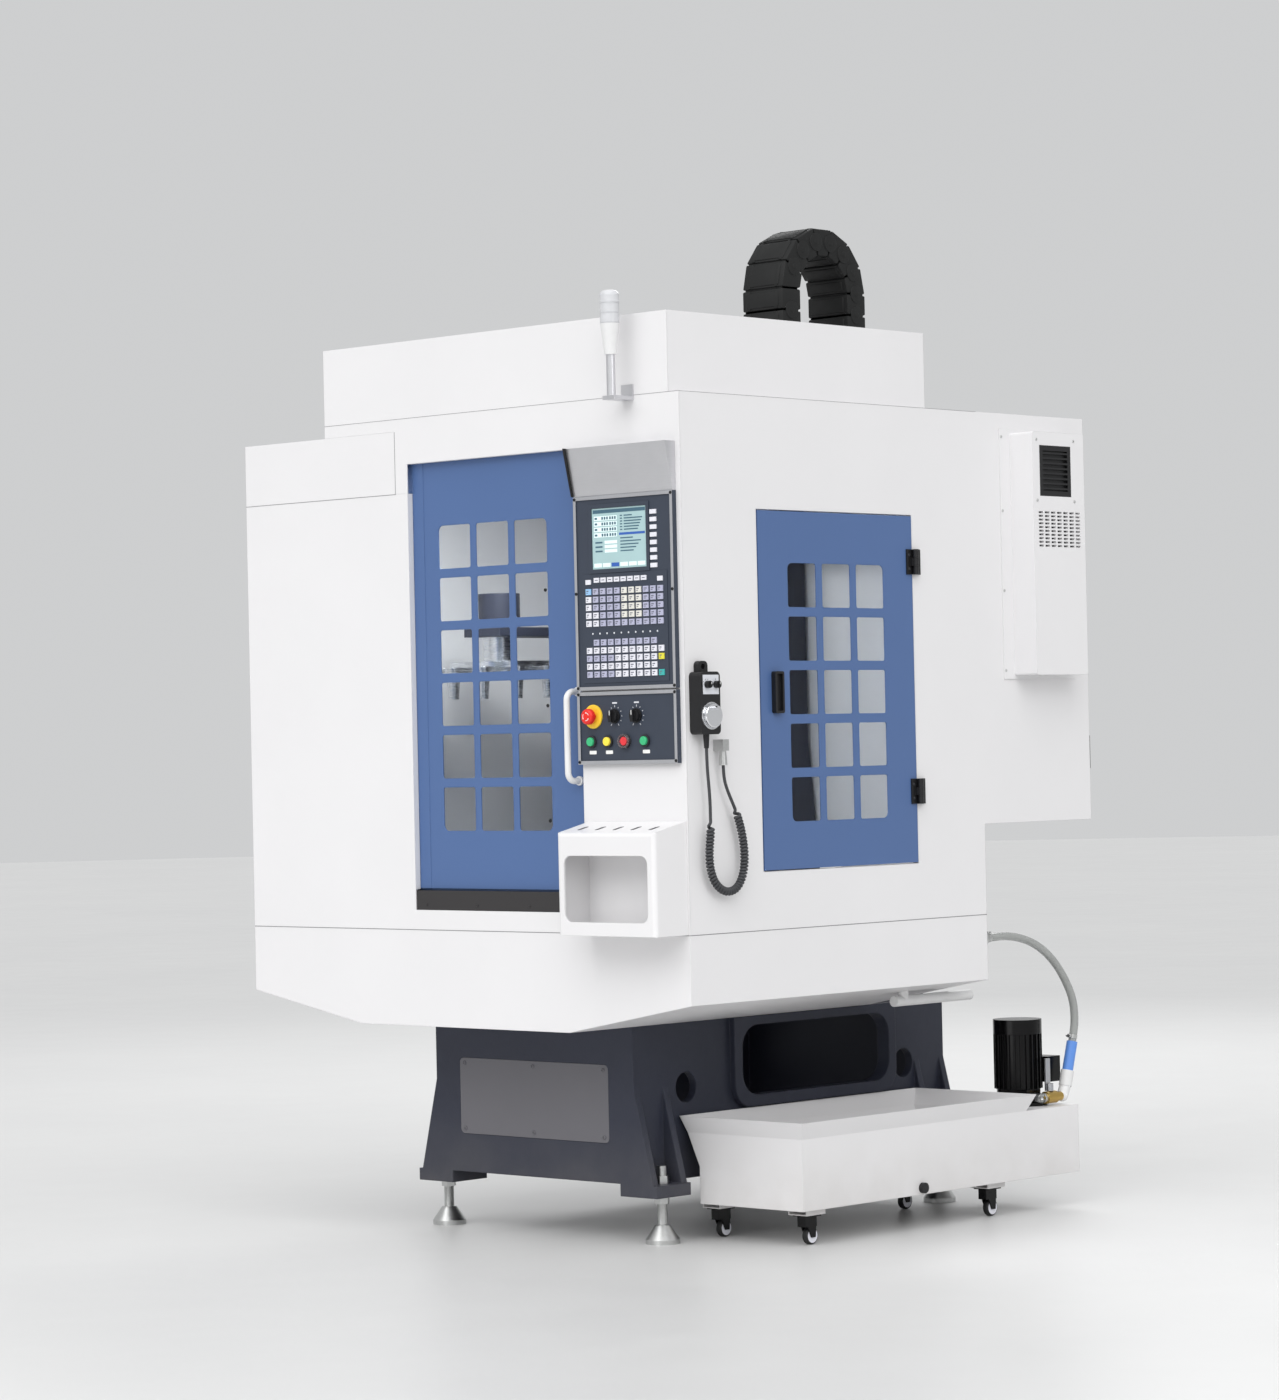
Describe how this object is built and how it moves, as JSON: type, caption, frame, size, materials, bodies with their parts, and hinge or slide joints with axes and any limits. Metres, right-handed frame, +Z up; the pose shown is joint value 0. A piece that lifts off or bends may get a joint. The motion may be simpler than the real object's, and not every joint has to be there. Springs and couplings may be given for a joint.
{
  "type": "cnc machining center",
  "caption": "Vertical drilling and tapping machining center in a white enclosure with blue windowed doors, control panel, rear cabinet, cast bed and a wheeled coolant tank.",
  "frame": {"origin": "floor level, under the middle of the machine's box", "axes": "+X to the operator's right, +Y to the back, +Z up"},
  "size_m": [1.7, 1.77, 2.69],
  "materials": {
    "white_sheet": "satin",
    "blue_sheet": "satin",
    "bed_paint": "satin",
    "cover_paint": "satin",
    "steel": "satin",
    "bright_metal": "polished",
    "silver_sheet": "satin",
    "window": "gloss",
    "panel_plastic": "matte",
    "screen_glass": "gloss",
    "key_membrane": "matte",
    "black_plastic": "matte",
    "black_paint": "gloss",
    "red_plastic": "gloss",
    "green_plastic": "gloss",
    "yellow_plastic": "gloss",
    "white_plastic": "gloss",
    "rubber": "matte",
    "clear_hose": "gloss",
    "brass": "satin"
  },
  "bodies": {
    "machine": {"base_casting": "bed_paint", "base_front_plate": "cover_paint", "levelling_feet": "steel", "column": "bed_paint", "guide_rails": "steel", "chip_pan": "white_sheet", "drain_pipe": "white_plastic", "front_panel": "white_sheet", "left_front_panel": "white_sheet", "left_top_cover": "white_sheet", "left_side_panel": "white_sheet", "right_side_panel": "white_sheet", "roof_housing": "white_sheet", "door_track": "black_paint", "hinge_leaves": "black_plastic", "electrical_cabinet": "white_sheet", "cabinet_cooler": "white_sheet", "cable_chain": "black_plastic", "control_panel": "panel_plastic", "display_screen": "screen_glass", "keypad": "key_membrane", "operator_panel": "panel_plastic", "panel_hood": "silver_sheet", "tool_tray": "white_sheet", "signal_lamp": "white_plastic", "pendant_body": "black_plastic", "pendant_cord": "rubber", "pendant_coil": "rubber", "coolant_tank": "white_sheet", "caster_forks": "black_paint", "coolant_pump": "black_paint", "pump_fittings": "brass", "coolant_hose": "clear_hose"},
    "main_door": {"main_door_panel": "blue_sheet", "main_door_window": "window", "main_door_handle": "white_plastic"},
    "side_door": {"side_door_panel": "blue_sheet", "side_door_window": "window", "side_door_hardware": "black_plastic"},
    "cabinet_door": {"cabinet_door": "white_sheet"},
    "saddle": {"saddle": "bed_paint"},
    "table": {"table": "steel"},
    "spindle_head": {"spindle_head": "bed_paint"},
    "spindle": {"spindle": "steel"},
    "tool_drum": {"tool_drum": "steel"},
    "emergency_stop": {"emergency_stop": "red_plastic"},
    "cycle_start_button": {"cycle_start_button": "green_plastic"},
    "feed_hold_button": {"feed_hold_button": "yellow_plastic"},
    "power_off_button": {"power_off_button": "red_plastic"},
    "power_on_button": {"power_on_button": "green_plastic"},
    "feed_knob": {"feed_knob": "black_plastic"},
    "spindle_knob": {"spindle_knob": "black_plastic"},
    "pendant_wheel": {"pendant_wheel": "bright_metal"},
    "pendant_axis_knob": {"pendant_axis_knob": "black_plastic"},
    "pendant_step_knob": {"pendant_step_knob": "black_plastic"},
    "valve_lever": {"valve_lever": "steel"},
    "caster_wheel_1": {"caster_wheel_1": "rubber"},
    "caster_wheel_2": {"caster_wheel_2": "rubber"},
    "caster_wheel_3": {"caster_wheel_3": "rubber"},
    "caster_wheel_4": {"caster_wheel_4": "rubber"}
  },
  "joints": [
    {"name": "main_door_slide", "type": "slide", "parent": "machine", "child": "main_door", "axis": [-1, 0, 0], "range_m": [0, 0.565]},
    {"name": "side_door_hinge", "type": "hinge", "parent": "machine", "child": "side_door", "pos_m": [0.784, 0.1275, 1.42], "axis": [0, 0, 1], "range_deg": [0, 110]},
    {"name": "cabinet_door_hinge", "type": "hinge", "parent": "machine", "child": "cabinet_door", "pos_m": [0.753, 0.886, 1.61], "axis": [0, 0, -1], "range_deg": [0, 120]},
    {"name": "y_axis", "type": "slide", "parent": "machine", "child": "saddle", "axis": [0, 1, 0], "range_m": [-0.15, 0.1]},
    {"name": "x_axis", "type": "slide", "parent": "saddle", "child": "table", "axis": [1, 0, 0], "range_m": [-0.25, 0.25]},
    {"name": "z_axis", "type": "slide", "parent": "machine", "child": "spindle_head", "axis": [0, 0, 1], "range_m": [-0.3, 0], "deforming": ["cable_chain"]},
    {"name": "spindle_turn", "type": "hinge", "parent": "spindle_head", "child": "spindle", "pos_m": [-0.04, -0.2, 1.35], "axis": [0, 0, 1], "continuous": true},
    {"name": "drum_turn", "type": "hinge", "parent": "machine", "child": "tool_drum", "pos_m": [-0.49, -0.15, 1.55], "axis": [0, 0, 1], "continuous": true},
    {"name": "emergency_stop_press", "type": "slide", "parent": "machine", "child": "emergency_stop", "axis": [0, 1, 0], "range_m": [0, 0.005]},
    {"name": "cycle_start_press", "type": "slide", "parent": "machine", "child": "cycle_start_button", "axis": [0, 1, 0], "range_m": [0, 0.004], "stiffness_N_per_m": 400},
    {"name": "feed_hold_press", "type": "slide", "parent": "machine", "child": "feed_hold_button", "axis": [0, 1, 0], "range_m": [0, 0.004], "stiffness_N_per_m": 400},
    {"name": "power_off_press", "type": "slide", "parent": "machine", "child": "power_off_button", "axis": [0, 1, 0], "range_m": [0, 0.004], "stiffness_N_per_m": 400},
    {"name": "power_on_press", "type": "slide", "parent": "machine", "child": "power_on_button", "axis": [0, 1, 0], "range_m": [0, 0.004], "stiffness_N_per_m": 400},
    {"name": "feed_knob_turn", "type": "hinge", "parent": "machine", "child": "feed_knob", "pos_m": [0.541, -0.772, 1.364], "axis": [0, -1, 0], "range_deg": [-150, 150]},
    {"name": "spindle_knob_turn", "type": "hinge", "parent": "machine", "child": "spindle_knob", "pos_m": [0.616, -0.772, 1.364], "axis": [0, -1, 0], "range_deg": [-150, 150]},
    {"name": "pendant_wheel_turn", "type": "hinge", "parent": "machine", "child": "pendant_wheel", "pos_m": [0.815, -0.71, 1.359], "axis": [1, 0, 0], "continuous": true},
    {"name": "pendant_axis_turn", "type": "hinge", "parent": "machine", "child": "pendant_axis_knob", "pos_m": [0.815, -0.726, 1.436], "axis": [1, 0, 0], "range_deg": [-75, 75]},
    {"name": "pendant_step_turn", "type": "hinge", "parent": "machine", "child": "pendant_step_knob", "pos_m": [0.815, -0.694, 1.436], "axis": [1, 0, 0], "range_deg": [-45, 45]},
    {"name": "valve_lever_turn", "type": "hinge", "parent": "machine", "child": "valve_lever", "pos_m": [0.7, 0.757, 0.33], "axis": [0, 0, 1], "range_deg": [0, 90]},
    {"name": "caster_1_spin", "type": "hinge", "parent": "machine", "child": "caster_wheel_1", "pos_m": [0.392, -0.245, 0.023], "axis": [1, 0, 0], "continuous": true},
    {"name": "caster_2_spin", "type": "hinge", "parent": "machine", "child": "caster_wheel_2", "pos_m": [0.392, 0.496, 0.023], "axis": [1, 0, 0], "continuous": true},
    {"name": "caster_3_spin", "type": "hinge", "parent": "machine", "child": "caster_wheel_3", "pos_m": [0.69, -0.245, 0.023], "axis": [1, 0, 0], "continuous": true},
    {"name": "caster_4_spin", "type": "hinge", "parent": "machine", "child": "caster_wheel_4", "pos_m": [0.69, 0.496, 0.023], "axis": [1, 0, 0], "continuous": true}
  ]
}
